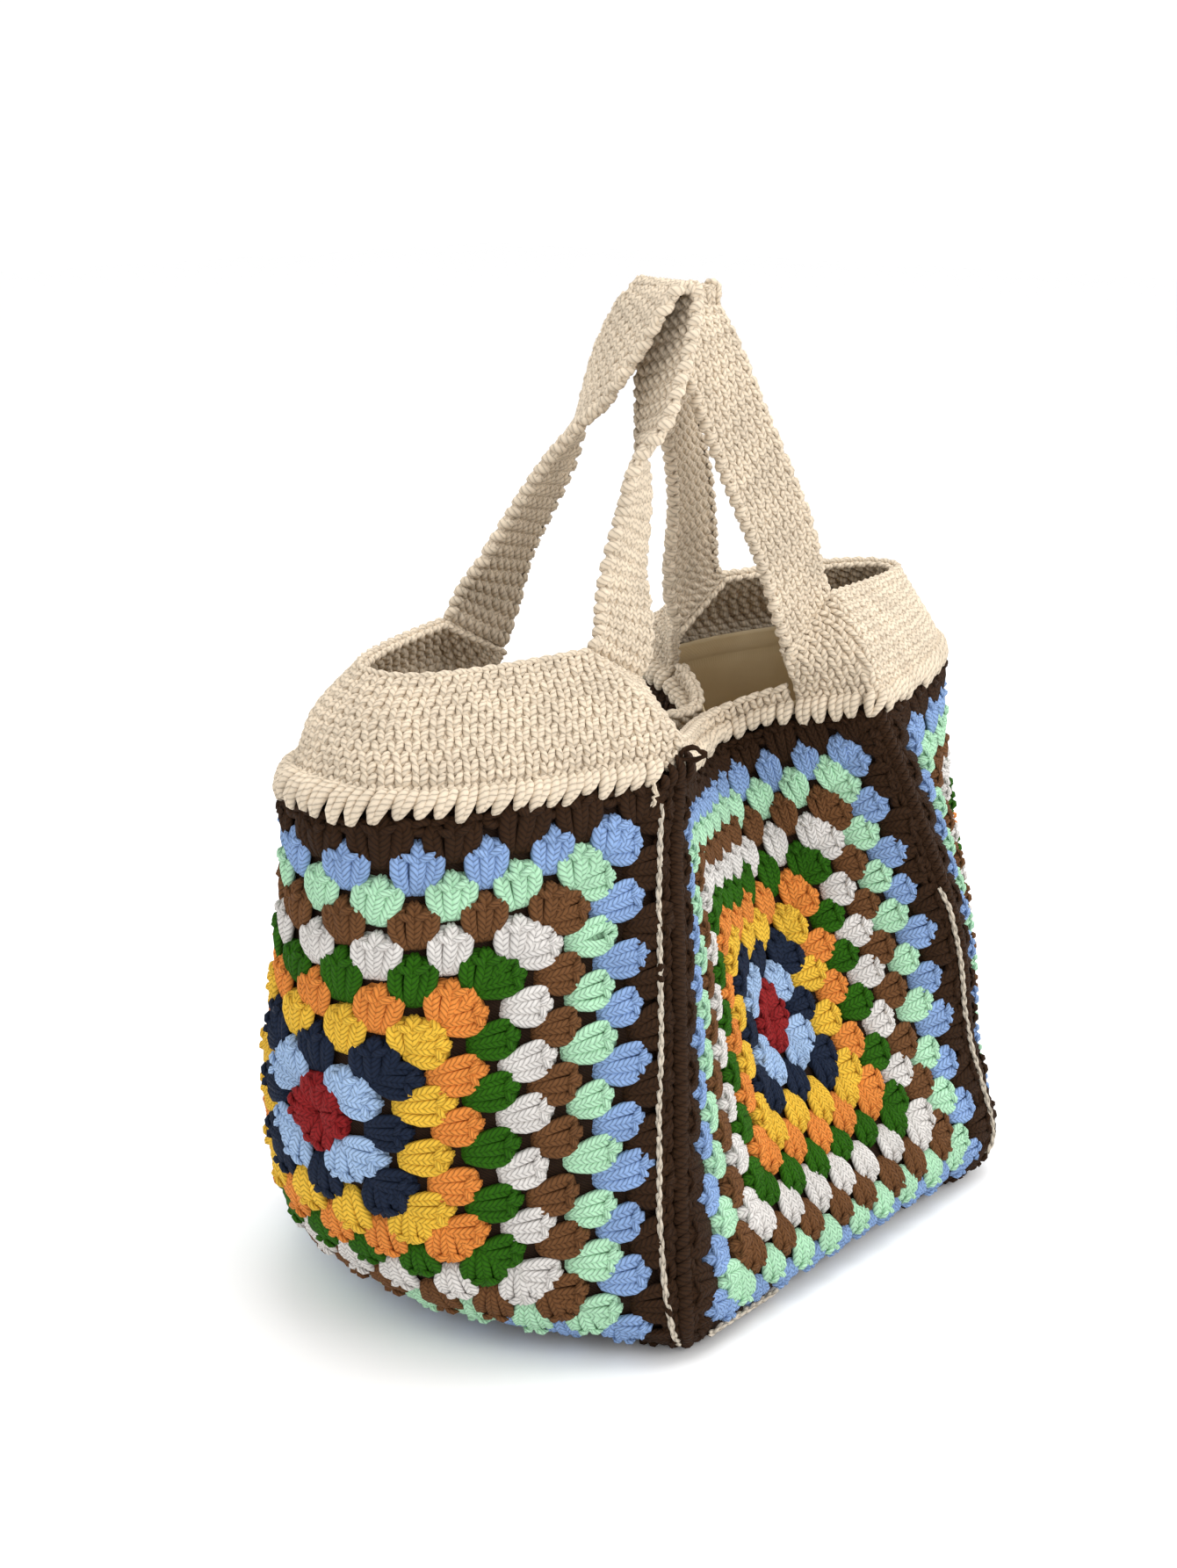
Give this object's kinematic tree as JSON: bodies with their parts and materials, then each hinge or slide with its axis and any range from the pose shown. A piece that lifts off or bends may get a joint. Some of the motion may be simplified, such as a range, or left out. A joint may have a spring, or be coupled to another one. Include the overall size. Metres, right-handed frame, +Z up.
{
  "type": "crochet shopping bag",
  "caption": "Soft crocheted bag of multicoloured squares with a cream collar, two looped straps that meet over the mouth, and a cloth lining.",
  "frame": {"origin": "centre of the underside that the bag stands on", "axes": "+Z up from the base to the straps; -Y the way the front square faces; +X to the right of someone who looks at the front"},
  "size_m": [0.2528, 0.4203, 0.4513],
  "materials": {
    "square_yarn": "crocheted yarn, many colours",
    "cream_yarn": "crocheted yarn",
    "lining_cloth": "smooth woven cloth"
  },
  "bodies": {
    "root": {"panel_front": "square_yarn", "panel_right": "square_yarn", "panel_back": "square_yarn", "panel_left": "square_yarn", "panel_bottom": "square_yarn", "seam_front_right": "square_yarn", "seam_back_right": "square_yarn", "seam_back_left": "square_yarn", "seam_front_left": "square_yarn", "seam_bottom_front": "square_yarn", "seam_bottom_right": "square_yarn", "seam_bottom_back": "square_yarn", "seam_bottom_left": "square_yarn", "edging_right": "cream_yarn", "edging_left": "cream_yarn", "collar_front": "cream_yarn", "collar_back": "cream_yarn", "strap_front": "cream_yarn", "strap_back": "cream_yarn", "lining": "lining_cloth"}
  },
  "joints": []
}
